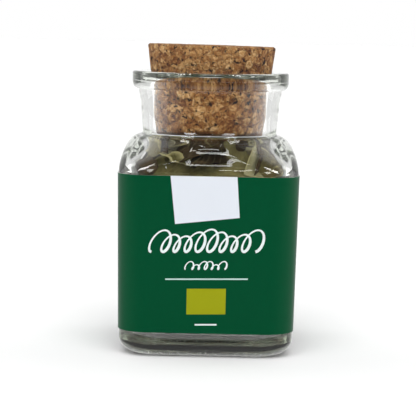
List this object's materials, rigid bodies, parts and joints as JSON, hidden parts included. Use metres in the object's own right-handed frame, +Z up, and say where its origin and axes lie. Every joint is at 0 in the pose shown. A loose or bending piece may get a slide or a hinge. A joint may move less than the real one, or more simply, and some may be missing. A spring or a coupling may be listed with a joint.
{
  "type": "corked spice jar of dried curry leaves",
  "caption": "Square glass spice jar with a round flanged neck, tapered cork stopper and wrap-round paper label, filled with loose dried curry leaves.",
  "frame": {"origin": "middle of the base, on the surface that the jar stands on", "axes": "+Z up along the jar's axis; -Y is the front of the label; X is the width across the front"},
  "size_m": [0.0522, 0.0522, 0.0888],
  "materials": {
    "glass": "gloss",
    "cork": "matte",
    "label_paper": "satin",
    "dried_leaf": "matte"
  },
  "bodies": {
    "root": {"glass_jar": "glass", "cork_stopper": "cork", "paper_label": "label_paper", "dried_leaves": "dried_leaf"}
  },
  "joints": []
}
